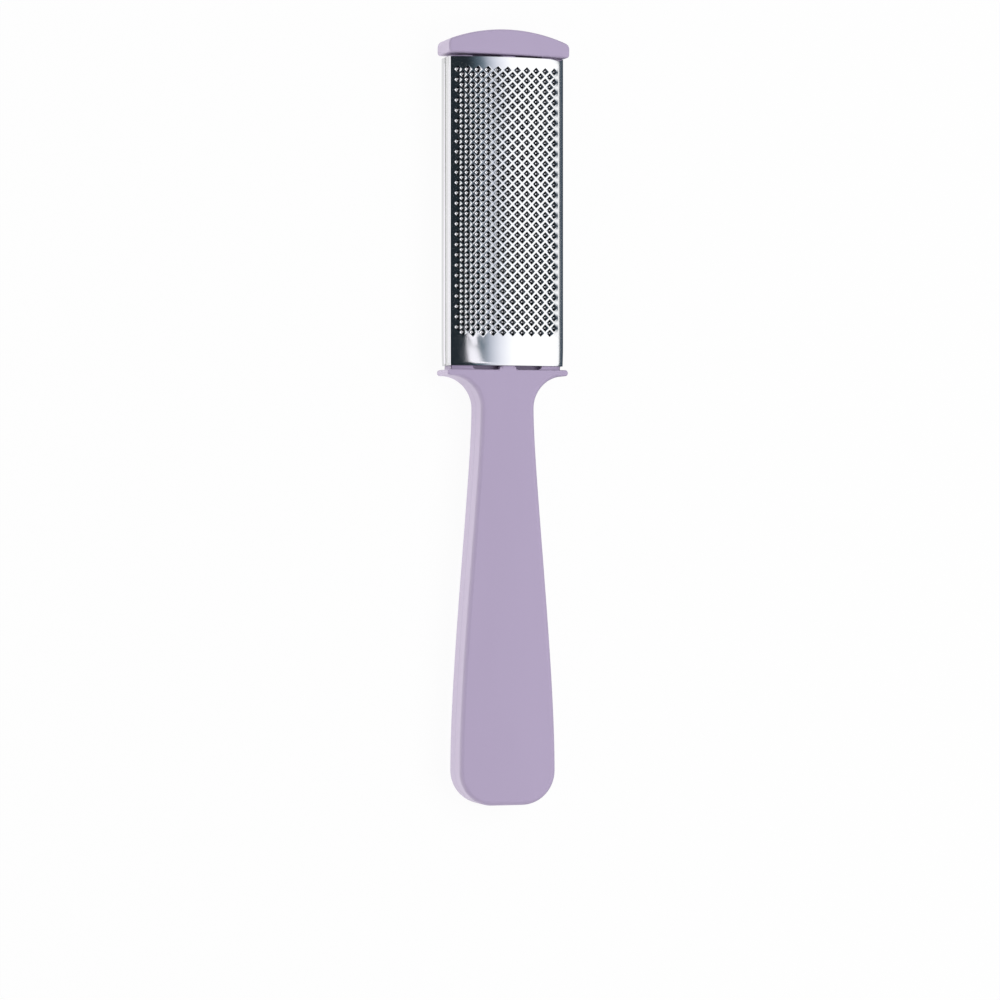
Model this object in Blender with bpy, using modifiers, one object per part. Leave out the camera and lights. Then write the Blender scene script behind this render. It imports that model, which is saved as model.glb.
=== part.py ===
"""Foot rasp: a folded steel rasp sleeve held on a moulded handle by a press-on end cap.

X runs across the tool, Y along it and Z up, with Z = 0 on the surface it lies on.
"""

from math import asin, cos, pi, radians, sin, sqrt

import bmesh
import bpy
from mathutils import Matrix, Vector

# Grip, neck and flange of the handle
HANDLE_LENGTH = 0.1152
HANDLE_THICKNESS = 0.0105
GRIP_HALF_WIDTH = 0.01318
GRIP_END_RADIUS = 0.0090
GRIP_EDGE_RADIUS = 0.0012
NECK_HALF_WIDTH = 0.00733
TAPER_AT_GRIP_SHARE = 0.30
TAPER_AT_NECK_SHARE = 0.18
FLANGE_LIP = 0.0008
FLANGE_THICKNESS = 0.0016
FLANGE_TIP_RADIUS = 0.0007
FLANGE_EDGE_RADIUS = 0.0004

# Core of the handle, which runs up inside the sleeve
CORE_CLEARANCE = 0.0003
CORE_CORNER_RADIUS = 0.0003
RIB_HALF_WIDTH = 0.0020
RAIL_WIDTH = 0.0055
POCKET_CORNER_RADIUS = 0.0010
WEB_THICKNESS = 0.0044

# Tongue that carries the end cap, with a snap bead on each face
TONGUE_SHOULDER = 0.0060
TONGUE_STEP = 0.0002
BEAD_RADIUS = 0.0005
BEAD_INSET = 0.0030
SEAT_GAP = 0.0003

# Sleeve: one sheet, punched flat and folded round to a butt seam
SLEEVE_LENGTH = 0.0815
SLEEVE_HALF_WIDTH = 0.01585
SHEET_THICKNESS = 0.00045
FACE_RADIUS = 0.0560
FOLD_RADIUS = 0.0007
SEAM_GAP = 0.00035
GAP_AT_FLANGE = 0.0010
GAP_AT_CAP = 0.0006

# Teeth: a fine side at the front, a coarse side at the back
FINE_PITCH_ACROSS = 0.002665
FINE_PITCH_ALONG = 0.002717
FINE_SHIFT_ACROSS = -0.00031
FINE_LAND = 0.00045
FINE_HEIGHT = 0.00045
COARSE_STEP = 2
COARSE_LAND = 0.0007
COARSE_HEIGHT = 0.0006
COARSE_SLOPE_RUN = 0.0008
COARSE_PIT_DEPTH = 0.0003
BARE_AT_CAP = 0.00214
BARE_AT_HANDLE = 0.0073

# End cap
CAP_HEIGHT = 0.0067
CAP_LIP = 0.0008
CAP_BELOW_CROWN = 0.0002
CAP_CROWN_RADIUS = 0.0440
CAP_END_WALL = 0.0024
CAP_SHOULDER_RADIUS = 0.0011
CAP_SHOULDER_STEEPEST = radians(80)
CAP_FOOT_RADIUS = 0.0008
CAP_EDGE_RADIUS = 0.0006

# Working values of the model: overruns of cuts, welding and smoothness
OVERRUN = 0.0005
WELD = 0.00001
FLAT_TILT = 0.01
ROUND_STEPS = 12
FOLD_STEPS = 3
EDGE_STEPS = 4
CORNER_STEPS = 4
SMOOTH_ANGLE = radians(28)
CIRCLE_SHARE = 0.5523

# Finishes: colour, roughness and metallic value
LAVENDER_PLASTIC = ((0.451, 0.376, 0.545, 1), 0.42, 0)
POLISHED_STEEL = ((0.62, 0.63, 0.64, 1), 0.18, 1)

# Places along the tool
TOOL_LENGTH = HANDLE_LENGTH + GAP_AT_FLANGE + SLEEVE_LENGTH + GAP_AT_CAP + CAP_HEIGHT
HANDLE_END_Y = -TOOL_LENGTH / 2
FLANGE_TOP_Y = HANDLE_END_Y + HANDLE_LENGTH
FLANGE_MID_Y = FLANGE_TOP_Y - FLANGE_THICKNESS / 2
FLANGE_UNDER_Y = FLANGE_TOP_Y - FLANGE_THICKNESS
SLEEVE_BOTTOM_Y = FLANGE_TOP_Y + GAP_AT_FLANGE
SLEEVE_TOP_Y = SLEEVE_BOTTOM_Y + SLEEVE_LENGTH
CAP_BOTTOM_Y = SLEEVE_TOP_Y + GAP_AT_CAP
CAP_TOP_Y = CAP_BOTTOM_Y + CAP_HEIGHT
CORE_TOP_Y = CAP_BOTTOM_Y - SEAT_GAP
TONGUE_TOP_Y = CAP_TOP_Y - CAP_END_WALL - SEAT_GAP
BEAD_Y = (CAP_BOTTOM_Y + TONGUE_TOP_Y) / 2

# Places across the tool: the flange and the cap stand out past the sleeve, the core lies inside
CORE_INSET = SHEET_THICKNESS + CORE_CLEARANCE
CORE_HALF_WIDTH = SLEEVE_HALF_WIDTH - CORE_INSET
FLANGE_HALF_WIDTH = SLEEVE_HALF_WIDTH + FLANGE_LIP
CAP_HALF_WIDTH = SLEEVE_HALF_WIDTH + CAP_LIP
TONGUE_HALF_WIDTH = CORE_HALF_WIDTH - TONGUE_SHOULDER
BEAD_HALF_LENGTH = TONGUE_HALF_WIDTH - BEAD_INSET

# Places through the tool: the sleeve's crown clears a core that is flush with the handle
CROWN = HANDLE_THICKNESS / 2 + CORE_INSET
CAP_THICKNESS = 2 * (CROWN - CAP_BELOW_CROWN)
TONGUE_THICKNESS = WEB_THICKNESS - 2 * TONGUE_STEP
MID_Z = CROWN + COARSE_HEIGHT


def new_object(name, mesh, collection):
    """An object that holds the mesh, in the collection."""
    thing = bpy.data.objects.new(name, mesh)
    collection.objects.link(thing)
    return thing


def finish(bm, name, collection):
    """The bmesh as an object, with its faces pointing out."""
    bmesh.ops.recalc_face_normals(bm, faces=bm.faces)
    mesh = bpy.data.meshes.new(name)
    bm.to_mesh(mesh)
    bm.free()
    mesh.shade_smooth()
    mesh.set_sharp_from_angle(angle=SMOOTH_ANGLE)
    return new_object(name, mesh, collection)


def round_corners(bm, radius, steepest=pi):
    """Round the sharp upright edges, as far as the steepest turn given."""
    corners = [edge for edge in bm.edges if edge.verts[0].co.xy == edge.verts[1].co.xy
               and SMOOTH_ANGLE < edge.calc_face_angle() < steepest]
    bmesh.ops.bevel(bm, geom=corners, offset=radius, offset_type="OFFSET",
                    segments=CORNER_STEPS, profile=0.5, affect="EDGES")


def block(name, collection, low, high, corner_radius=0.0):
    """A box between two corners, with its upright edges rounded if a radius is given."""
    bm = bmesh.new()
    bmesh.ops.create_cube(bm, size=1)
    low, high = Vector(low), Vector(high)
    bmesh.ops.scale(bm, vec=high - low, verts=bm.verts)
    bmesh.ops.translate(bm, vec=(low + high) / 2, verts=bm.verts)
    if corner_radius:
        round_corners(bm, corner_radius)
    return finish(bm, name, collection)


def cylinder(name, collection, radius, half_length, place):
    """A rod along X."""
    bm = bmesh.new()
    bmesh.ops.create_cone(bm, cap_ends=True, segments=4 * CORNER_STEPS, radius1=radius,
                          radius2=radius, depth=2 * half_length,
                          matrix=Matrix.Translation(place) @ Matrix.Rotation(pi / 2, 4, "Y"))
    return finish(bm, name, collection)


def round_rims(bm, radius):
    """Round the edges where the flat sides meet the edge that runs round them."""
    rims = {edge for face in bm.faces if is_level(face) for edge in face.edges}
    bmesh.ops.bevel(bm, geom=list(rims), offset=radius, offset_type="OFFSET",
                    segments=EDGE_STEPS, profile=0.5, affect="EDGES")


def is_level(face):
    """Whether a face of a plate is one of its two flat sides."""
    return face.normal.xy.length < FLAT_TILT


def plate(name, collection, outline, thickness, edge_radius, corners=()):
    """A flat solid from one side of its outline, given as (point, handle before, handle after)."""
    curve = bpy.data.curves.new(name, "CURVE")
    curve.dimensions = "2D"
    curve.fill_mode = "BOTH"
    curve.extrude = thickness / 2
    curve.resolution_u = ROUND_STEPS
    other_side = [((-x, y), after and (-after[0], after[1]), before and (-before[0], before[1]))
                  for (x, y), before, after in reversed(outline) if x]
    spline = curve.splines.new("BEZIER")
    spline.bezier_points.add(len(outline + other_side) - 1)
    spline.use_cyclic_u = True
    for knot, (point, before, after) in zip(spline.bezier_points, outline + other_side):
        knot.co = (*point, 0)
        knot.handle_left_type = "FREE" if before else "VECTOR"
        knot.handle_right_type = "FREE" if after else "VECTOR"
        if before:
            knot.handle_left = (*before, 0)
        if after:
            knot.handle_right = (*after, 0)
    drawn = new_object(name, curve, collection)
    drawn.location.z = MID_Z
    bm = welded_mesh(drawn)
    for corner in corners:
        round_corners(bm, *corner)
    round_rims(bm, edge_radius)
    return finish(bm, name, collection)


def welded_mesh(drawn):
    """The curve object's solid in its place, with each flat side welded on as one face."""
    depsgraph = bpy.context.evaluated_depsgraph_get()
    mesh = bpy.data.meshes.new_from_object(drawn.evaluated_get(depsgraph))
    bm = bmesh.new()
    bm.from_mesh(mesh)
    bmesh.ops.remove_doubles(bm, verts=bm.verts, dist=WELD)
    bmesh.ops.dissolve_faces(bm, faces=[face for face in bm.faces if is_level(face)])
    bm.transform(drawn.matrix_world)
    bpy.data.objects.remove(drawn)
    bpy.data.meshes.remove(mesh)
    return bm


def round_edges(thing, radius):
    """Round every sharp edge."""
    bevel = thing.modifiers.new("rounded edges", "BEVEL")
    bevel.width = radius
    bevel.segments = EDGE_STEPS
    bevel.limit_method = "ANGLE"
    bevel.angle_limit = SMOOTH_ANGLE


def combine(thing, other, operation):
    """Join the other object to this one, or cut it away."""
    boolean = thing.modifiers.new(other.name, "BOOLEAN")
    boolean.operation = operation
    boolean.solver = "EXACT"
    boolean.object = other
    other.hide_render = True
    other.display_type = "WIRE"


def section_runs(inset, fold_radius):
    """Length and turning radius of each run, seam to seam, of a section inside the sleeve's."""
    face_radius = FACE_RADIUS - inset
    reach = SLEEVE_HALF_WIDTH - inset - fold_radius
    fold_z = CROWN - FACE_RADIUS + sqrt((face_radius - fold_radius) ** 2 - reach ** 2)
    half_turn = asin(reach / (face_radius - fold_radius))
    face = (2 * face_radius * half_turn, face_radius)
    fold = (fold_radius * (pi / 2 - half_turn), fold_radius)
    seam_side = (fold_z - SEAM_GAP / 2, None)
    plain_side = (2 * fold_z, None)
    return [seam_side, fold, face, fold, plain_side, fold, face, fold, seam_side]


SECTION = section_runs(0, FOLD_RADIUS)
FACE_WIDTH = next(length for length, radius in SECTION if radius == FACE_RADIUS)


def folded(runs, inset, along, out):
    """The place in a section of a point on the blank: how far along it, and how far above it."""
    place = Vector((inset - SLEEVE_HALF_WIDTH, SEAM_GAP / 2))
    heading = Vector((0, 1))
    for length, radius in runs:
        step = min(along, length)
        if radius:
            turn = Matrix.Rotation(-step / radius, 2)
            centre = place + radius * Vector((heading.y, -heading.x))
            place = centre + turn @ (place - centre)
            heading = turn @ heading
        else:
            place = place + step * heading
        along -= step
        if along <= 0:
            break
    return place + out * Vector((-heading.y, heading.x))


def fold_over(bm):
    """Bend a flat blank, with X along it and Z above it, to the section."""
    for vert in bm.verts:
        across, up = folded(SECTION, 0, vert.co.x, vert.co.z)
        vert.co = (across, vert.co.y, MID_Z + up)


def fine_cells():
    """Half-pitch cells across and along the fine panel."""
    toothed_length = SLEEVE_LENGTH - BARE_AT_CAP - BARE_AT_HANDLE
    return 2 * int(FACE_WIDTH / FINE_PITCH_ACROSS), int(2 * toothed_length / FINE_PITCH_ALONG)


def blank_columns():
    """Grid lines along the blank's run, and the first and last line of each tooth panel."""
    columns = [0.0]
    panels = []
    cells_across = fine_cells()[0]
    for length, radius in SECTION:
        start = columns[-1]
        if radius == FACE_RADIUS:
            cells = cells_across // COARSE_STEP if panels else cells_across
            cell = cells_across * FINE_PITCH_ACROSS / 2 / cells
            margin = (length - cells * cell) / 2 + (0 if panels else FINE_SHIFT_ACROSS)
            panels.append((len(columns), len(columns) + cells))
            columns += [start + margin + index * cell for index in range(cells + 1)]
        elif radius:
            columns += [start + length * step / FOLD_STEPS for step in range(1, FOLD_STEPS)]
        columns.append(start + length)
    return columns, panels


def blank_grid(columns, rows):
    """A flat sheet with its grid lines at the given places, and its vertices by line numbers."""
    bm = bmesh.new()
    across, along = len(columns) - 1, len(rows) - 1
    bmesh.ops.create_grid(bm, x_segments=across, y_segments=along, size=1)
    nodes = {}
    for vert in bm.verts:
        column = round((vert.co.x + 1) / 2 * across)
        row = round((vert.co.y + 1) / 2 * along)
        nodes[column, row] = vert
        vert.co = (columns[column], rows[row], 0)
    # The rows run down the sleeve, which leaves the faces pointing in
    bmesh.ops.reverse_faces(bm, faces=bm.faces)
    bm.normal_update()
    return bm, nodes


def drop_spare_lines(bm, nodes, columns, rows, panels):
    """Take out the lines across the sheet wherever a tooth panel doesn't use them."""
    (fine_first, fine_last), (coarse_first, coarse_last) = panels
    spare = []
    for column in range(len(columns) - 1):
        for row in range(1, len(rows) - 1):
            in_fine = fine_first <= column < fine_last
            in_coarse = coarse_first <= column < coarse_last
            line = row - 1
            if in_fine or (in_coarse and line % COARSE_STEP == 0):
                continue
            spare.append(bm.edges.get((nodes[column, row], nodes[column + 1, row])))
    bmesh.ops.dissolve_edges(bm, edges=spare, use_verts=True)


def lattice(bm, nodes, first, last, step, rows):
    """Turn a panel's square cells into diamonds, one for each tooth, and return them."""
    teeth = []
    lines = range(1, len(rows) - 1, step)
    for line, row in enumerate(lines[:-1]):
        for column in range(first, last):
            corners = [nodes[column, row], nodes[column + 1, row],
                       nodes[column + 1, row + step], nodes[column, row + step]]
            odd = (line + column - first) % 2
            start, end = corners[1 - odd], corners[3 - odd]
            cell = next(face for face in start.link_faces if end in face.verts)
            bmesh.utils.face_split(cell, start, end)
            if line and column > first and not odd:
                teeth.append(corners[0])
    for tooth in teeth:
        for face in tooth.link_faces:
            face.material_index = 1
    bmesh.ops.dissolve_verts(bm, verts=teeth)
    diamonds = [face for face in bm.faces if face.material_index]
    for diamond in diamonds:
        diamond.material_index = 0
    return diamonds


def punched_sheet():
    """The outer skin of the flat blank, with its fine and coarse teeth raised."""
    columns, panels = blank_columns()
    first_tooth_line = SLEEVE_TOP_Y - BARE_AT_CAP
    lines = [first_tooth_line - line * FINE_PITCH_ALONG / 2
             for line in range(fine_cells()[1] + 1)]
    rows = [SLEEVE_TOP_Y, *lines, SLEEVE_BOTTOM_Y]
    bm, nodes = blank_grid(columns, rows)
    drop_spare_lines(bm, nodes, columns, rows, panels)

    fine = lattice(bm, nodes, *panels[0], 1, rows)
    bmesh.ops.inset_individual(bm, faces=fine, thickness=FINE_LAND / 2, use_even_offset=True)
    bmesh.ops.poke(bm, faces=fine, offset=FINE_HEIGHT)

    coarse = lattice(bm, nodes, *panels[1], COARSE_STEP, rows)
    bmesh.ops.inset_individual(bm, faces=coarse, thickness=COARSE_LAND / 2, use_even_offset=True)
    bmesh.ops.inset_individual(bm, faces=coarse, thickness=COARSE_SLOPE_RUN,
                               depth=COARSE_HEIGHT, use_even_offset=True)
    bmesh.ops.poke(bm, faces=coarse, offset=-COARSE_PIT_DEPTH)
    return bm


def make_sleeve(collection):
    """Back the punched sheet with its inner skin, then fold it round to the seam."""
    bm = punched_sheet()
    rim = [edge for edge in bm.edges if edge.is_boundary]
    made = bmesh.ops.extrude_edge_only(bm, edges=rim)["geom"]
    for item in made:
        if isinstance(item, bmesh.types.BMVert):
            item.co.z = -SHEET_THICKNESS
    ends = [item for item in made if isinstance(item, bmesh.types.BMEdge) and item.is_boundary
            and item.verts[0].co.y == item.verts[1].co.y]
    bmesh.ops.bridge_loops(bm, edges=ends)
    fold_over(bm)
    return finish(bm, "rasp_sleeve", collection)


def make_core_bar(collection):
    """The bar that fills the sleeve: the sleeve's section, less its sheet and a clearance."""
    bm = bmesh.new()
    runs = section_runs(CORE_INSET, CORE_CORNER_RADIUS)
    along = 0.0
    ring = []
    for length, radius in runs:
        steps = FOLD_STEPS if radius == CORE_CORNER_RADIUS else ROUND_STEPS if radius else 1
        for step in range(steps):
            ring.append(folded(runs, CORE_INSET, along + length * step / steps, 0))
        along += length
    end = bm.faces.new([bm.verts.new((x, FLANGE_MID_Y, MID_Z + z)) for x, z in ring[1:]])
    made = bmesh.ops.extrude_face_region(bm, geom=[end])["geom"]
    moved = [item for item in made if isinstance(item, bmesh.types.BMVert)]
    bmesh.ops.translate(bm, vec=(0, CORE_TOP_Y - FLANGE_MID_Y, 0), verts=moved)
    return finish(bm, "core_bar", collection)


def grip_outline():
    """Half of the grip's outline, from its end up the side to inside the flange."""
    side_y = HANDLE_END_Y + GRIP_END_RADIUS
    flare_radius = FLANGE_HALF_WIDTH - FLANGE_TIP_RADIUS - NECK_HALF_WIDTH
    neck_y = FLANGE_UNDER_Y - flare_radius
    taper = neck_y - side_y
    flare_x = NECK_HALF_WIDTH + flare_radius
    end_x = GRIP_HALF_WIDTH - GRIP_END_RADIUS
    end_pull = CIRCLE_SHARE * GRIP_END_RADIUS
    flare_pull = CIRCLE_SHARE * flare_radius
    top_y = FLANGE_TOP_Y + 2 * GRIP_EDGE_RADIUS
    return [
        ((end_x, HANDLE_END_Y), None, (end_x + end_pull, HANDLE_END_Y)),
        ((GRIP_HALF_WIDTH, side_y), (GRIP_HALF_WIDTH, side_y - end_pull),
         (GRIP_HALF_WIDTH, side_y + TAPER_AT_GRIP_SHARE * taper)),
        ((NECK_HALF_WIDTH, neck_y), (NECK_HALF_WIDTH, neck_y - TAPER_AT_NECK_SHARE * taper),
         (NECK_HALF_WIDTH, neck_y + flare_pull)),
        ((flare_x, FLANGE_UNDER_Y), (flare_x - flare_pull, FLANGE_UNDER_Y), None),
        ((flare_x, top_y), None, None),
    ]


def make_pockets(collection):
    """Cutters for the pockets each side of the rib, in both faces of the core."""
    for side in (-1, 1):
        for face in (-1, 1):
            x = sorted((side * RIB_HALF_WIDTH, side * (CORE_HALF_WIDTH - RAIL_WIDTH)))
            z = sorted((face * WEB_THICKNESS / 2, face * (CROWN + OVERRUN)))
            low = (x[0], FLANGE_TOP_Y, MID_Z + z[0])
            high = (x[1], CORE_TOP_Y + OVERRUN + POCKET_CORNER_RADIUS, MID_Z + z[1])
            yield block("pocket", collection, low, high, POCKET_CORNER_RADIUS)


def tongue_parts(collection, label, clearance):
    """The tongue and its two snap beads, grown by a clearance when they cut the cap's socket."""
    half_width = TONGUE_HALF_WIDTH + clearance
    half_thickness = TONGUE_THICKNESS / 2 + clearance
    root_y = CORE_TOP_Y - (OVERRUN if not clearance else 0)
    low = (-half_width, root_y, MID_Z - half_thickness)
    high = (half_width, TONGUE_TOP_Y + clearance, MID_Z + half_thickness)
    yield block(label, collection, low, high)
    for face in (-1, 1):
        place = (0, BEAD_Y, MID_Z + face * TONGUE_THICKNESS / 2)
        yield cylinder(label + "_bead", collection, BEAD_RADIUS + clearance,
                       BEAD_HALF_LENGTH + clearance, place)


def make_handle(parts, cutters):
    """Grip, flange, core and tongue as one moulding."""
    handle = plate("handle", parts, grip_outline(), HANDLE_THICKNESS, GRIP_EDGE_RADIUS)
    reach = FLANGE_HALF_WIDTH + OVERRUN
    trim = block("flare_trim", cutters, (-reach, FLANGE_MID_Y, MID_Z - HANDLE_THICKNESS),
                 (reach, FLANGE_TOP_Y + 2 * GRIP_EDGE_RADIUS + OVERRUN, MID_Z + HANDLE_THICKNESS))
    combine(handle, trim, "DIFFERENCE")
    flange = block("flange", cutters,
                   (-FLANGE_HALF_WIDTH, FLANGE_UNDER_Y, MID_Z - HANDLE_THICKNESS / 2),
                   (FLANGE_HALF_WIDTH, FLANGE_TOP_Y, MID_Z + HANDLE_THICKNESS / 2),
                   FLANGE_TIP_RADIUS)
    round_edges(flange, FLANGE_EDGE_RADIUS)
    combine(handle, flange, "UNION")
    combine(handle, make_core_bar(cutters), "UNION")
    for piece in tongue_parts(cutters, "tongue", 0):
        combine(handle, piece, "UNION")
    for pocket in make_pockets(cutters):
        combine(handle, pocket, "DIFFERENCE")
    return handle


def cap_outline():
    """Half of the cap's outline, from its flat foot round the end to the crown."""
    half_turn = asin(CAP_HALF_WIDTH / CAP_CROWN_RADIUS)
    end_y = CAP_TOP_Y - CAP_CROWN_RADIUS * (1 - cos(half_turn))
    pull = CAP_CROWN_RADIUS * half_turn / 3
    return [
        ((CAP_HALF_WIDTH, CAP_BOTTOM_Y), None, None),
        ((CAP_HALF_WIDTH, end_y), None,
         (CAP_HALF_WIDTH - pull * cos(half_turn), end_y + pull * sin(half_turn))),
        ((0, CAP_TOP_Y), (pull, CAP_TOP_Y), (-pull, CAP_TOP_Y)),
    ]


def make_cap(parts, cutters):
    """The end cap, with a socket that snaps over the tongue."""
    cap = plate("end_cap", parts, cap_outline(), CAP_THICKNESS, CAP_EDGE_RADIUS,
                ((CAP_SHOULDER_RADIUS, CAP_SHOULDER_STEEPEST), (CAP_FOOT_RADIUS,)))
    for piece in tongue_parts(cutters, "socket", SEAT_GAP):
        combine(cap, piece, "DIFFERENCE")
    return cap


def paint(thing, finish_values):
    """Give the object a plain material of its own."""
    colour, roughness, metallic = finish_values
    material = bpy.data.materials.new(thing.name)
    material.use_nodes = True
    surface = material.node_tree.nodes["Principled BSDF"]
    surface.inputs["Base Color"].default_value = colour
    surface.inputs["Roughness"].default_value = roughness
    surface.inputs["Metallic"].default_value = metallic
    thing.data.materials.clear()
    thing.data.materials.append(material)


def main():
    for thing in list(bpy.data.objects):
        bpy.data.objects.remove(thing)
    parts = bpy.data.collections.new("foot_rasp")
    cutters = bpy.data.collections.new("cutters")
    for collection in (parts, cutters):
        bpy.context.scene.collection.children.link(collection)

    paint(make_handle(parts, cutters), LAVENDER_PLASTIC)
    paint(make_cap(parts, cutters), LAVENDER_PLASTIC)
    paint(make_sleeve(parts), POLISHED_STEEL)


main()
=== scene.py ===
"""Foot rasp, dressed: moulded lavender handle and end cap, punched and folded steel sleeve.

X runs across the tool, Y along it and Z up, with Z = 0 on the surface it lies on.
"""

from math import asin, cos, pi, radians, sin, sqrt, tan

import bmesh
import bpy
from bpy.props import FloatProperty, FloatVectorProperty, IntProperty, PointerProperty
from mathutils import Matrix, Vector


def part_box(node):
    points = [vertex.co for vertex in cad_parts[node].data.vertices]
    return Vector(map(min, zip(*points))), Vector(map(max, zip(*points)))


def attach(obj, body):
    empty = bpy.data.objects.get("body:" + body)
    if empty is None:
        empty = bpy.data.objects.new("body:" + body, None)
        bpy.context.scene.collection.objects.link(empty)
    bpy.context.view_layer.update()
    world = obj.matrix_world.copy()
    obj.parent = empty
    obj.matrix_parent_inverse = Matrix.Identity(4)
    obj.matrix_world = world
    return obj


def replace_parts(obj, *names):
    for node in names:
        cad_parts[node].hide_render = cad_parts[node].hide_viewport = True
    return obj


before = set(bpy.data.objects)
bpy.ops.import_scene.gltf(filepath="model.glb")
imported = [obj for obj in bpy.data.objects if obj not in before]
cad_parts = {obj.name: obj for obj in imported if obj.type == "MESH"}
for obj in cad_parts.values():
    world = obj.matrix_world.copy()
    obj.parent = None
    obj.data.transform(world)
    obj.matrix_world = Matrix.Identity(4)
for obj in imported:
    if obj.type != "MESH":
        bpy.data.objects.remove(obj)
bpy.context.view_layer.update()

bl_info = {
    "name": "Foot Rasp",
    "version": (1, 0, 0),
    "blender": (4, 5, 0),
    "location": "View3D > Sidebar > Foot Rasp",
    "description": "Dresses a foot rasp's frame: its mouldings, its punched sleeve and a studio",
    "category": "Object",
}

# The frame's own places, with the gaps from flange to sleeve and from core to cap
HANDLE_LOW, HANDLE_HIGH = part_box("handle")
CAP_LOW, CAP_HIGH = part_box("end_cap")
SLEEVE_LOW, SLEEVE_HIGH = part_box("rasp_sleeve")
MID_Z = (CAP_LOW.z + CAP_HIGH.z) / 2
SLEEVE_HALF_WIDTH = SLEEVE_HIGH.x
SLEEVE_LENGTH = SLEEVE_HIGH.y - SLEEVE_LOW.y
FLANGE_HALF_WIDTH = HANDLE_HIGH.x
GAP_AT_FLANGE = 0.0010
SEAT_GAP = 0.0003
FLANGE_TOP_Y = SLEEVE_LOW.y - GAP_AT_FLANGE
CORE_TOP_Y = CAP_LOW.y - SEAT_GAP

# How finely shapes are cut, and how near points are welded
WELD = 0.00001
OVERRUN = 0.0005
SLIVER = 0.000005
FLAT_TILT = 0.01
CURVE_STEPS = 28
RIM_STEPS = 6
FOLD_STEPS = 8
MOUTH_STEPS = 6
CORNER_STEPS = 6
CUT_EDGE_STEPS = 2
SMOOTH_ANGLE = radians(24)
CIRCLE_SHARE = 0.5523

# The hidden tongue that the cap snaps over
TONGUE_SHOULDER = 0.0060
TONGUE_STEP = 0.0002
BEAD_RADIUS = 0.0005
BEAD_INSET = 0.0030
SOCKET_CLEARANCE = 0.0003


class HandleSettings(bpy.types.PropertyGroup):
    """Sizes of the moulded handle and its core."""
    thickness: FloatProperty(
        name="Thickness", description="Front to back of the grip", default=0.0105, unit="LENGTH")
    grip_half_width: FloatProperty(
        name="Grip half width", description="Half the widest part of the grip", default=0.01318,
        unit="LENGTH")
    grip_end_radius: FloatProperty(
        name="Grip end radius", description="Corner radius of the grip's end", default=0.0090,
        unit="LENGTH")
    neck_half_width: FloatProperty(
        name="Neck half width", description="Half the narrowest part of the grip", default=0.00733,
        unit="LENGTH")
    taper_at_grip: FloatProperty(
        name="Taper at grip", description="Share of the taper that the wide end pulls",
        default=0.30, subtype="FACTOR")
    taper_at_neck: FloatProperty(
        name="Taper at neck", description="Share of the taper that the neck pulls", default=0.18,
        subtype="FACTOR")
    edge_radius: FloatProperty(
        name="Edge radius", description="Rounding of the grip's rims", default=0.0012,
        unit="LENGTH")
    flange_thickness: FloatProperty(
        name="Flange thickness", description="Along the tool", default=0.0016, unit="LENGTH")
    flange_tip_radius: FloatProperty(
        name="Flange tip radius", description="Rounding of the flange's ends, seen from the front",
        default=0.0007, unit="LENGTH")
    flange_radius: FloatProperty(
        name="Flange rounding", description="Rounding of the flange's edges", default=0.0004,
        unit="LENGTH")
    core_corner_radius: FloatProperty(
        name="Core corner radius", description="Rounding of the core's long corners",
        default=0.0003, unit="LENGTH")
    rib_half_width: FloatProperty(
        name="Rib half width", description="Half the rib between two pockets", default=0.0020,
        unit="LENGTH")
    rail_width: FloatProperty(
        name="Rail width", description="Width of the core outside each pocket", default=0.0055,
        unit="LENGTH")
    web_thickness: FloatProperty(
        name="Web thickness", description="Thickness of the core between pockets", default=0.0044,
        unit="LENGTH")
    pocket_radius: FloatProperty(
        name="Pocket corner radius", description="Rounding of the pockets' corners",
        default=0.0010, unit="LENGTH")
    parting_depth: FloatProperty(
        name="Parting line depth", description="Depth of the line where the mould halves met",
        default=0.00005, unit="LENGTH")
    parting_width: FloatProperty(
        name="Parting line width", description="Width of that line", default=0.00022,
        unit="LENGTH")


class CapSettings(bpy.types.PropertyGroup):
    """Sizes of the end cap."""
    crown_radius: FloatProperty(
        name="Crown radius", description="Radius of the arched end", default=0.0440, unit="LENGTH")
    shoulder_radius: FloatProperty(
        name="Shoulder radius", description="Rounding where the arch meets the ends",
        default=0.00164, unit="LENGTH")
    foot_radius: FloatProperty(
        name="Foot radius", description="Rounding of the corners beside the sleeve",
        default=0.0008, unit="LENGTH")
    edge_radius: FloatProperty(
        name="Edge radius", description="Rounding of its rims", default=0.0006, unit="LENGTH")
    askew_turn: FloatProperty(
        name="Askew turn", description="How far the cap was pressed on crooked",
        default=radians(1.1), subtype="ANGLE")
    askew_shift: FloatProperty(
        name="Askew shift", description="How far to the right it was pressed on", default=0.00025,
        unit="LENGTH")
    end_wall: FloatProperty(
        name="End wall", description="Plastic beyond the tongue's socket", default=0.0024,
        unit="LENGTH")


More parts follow.
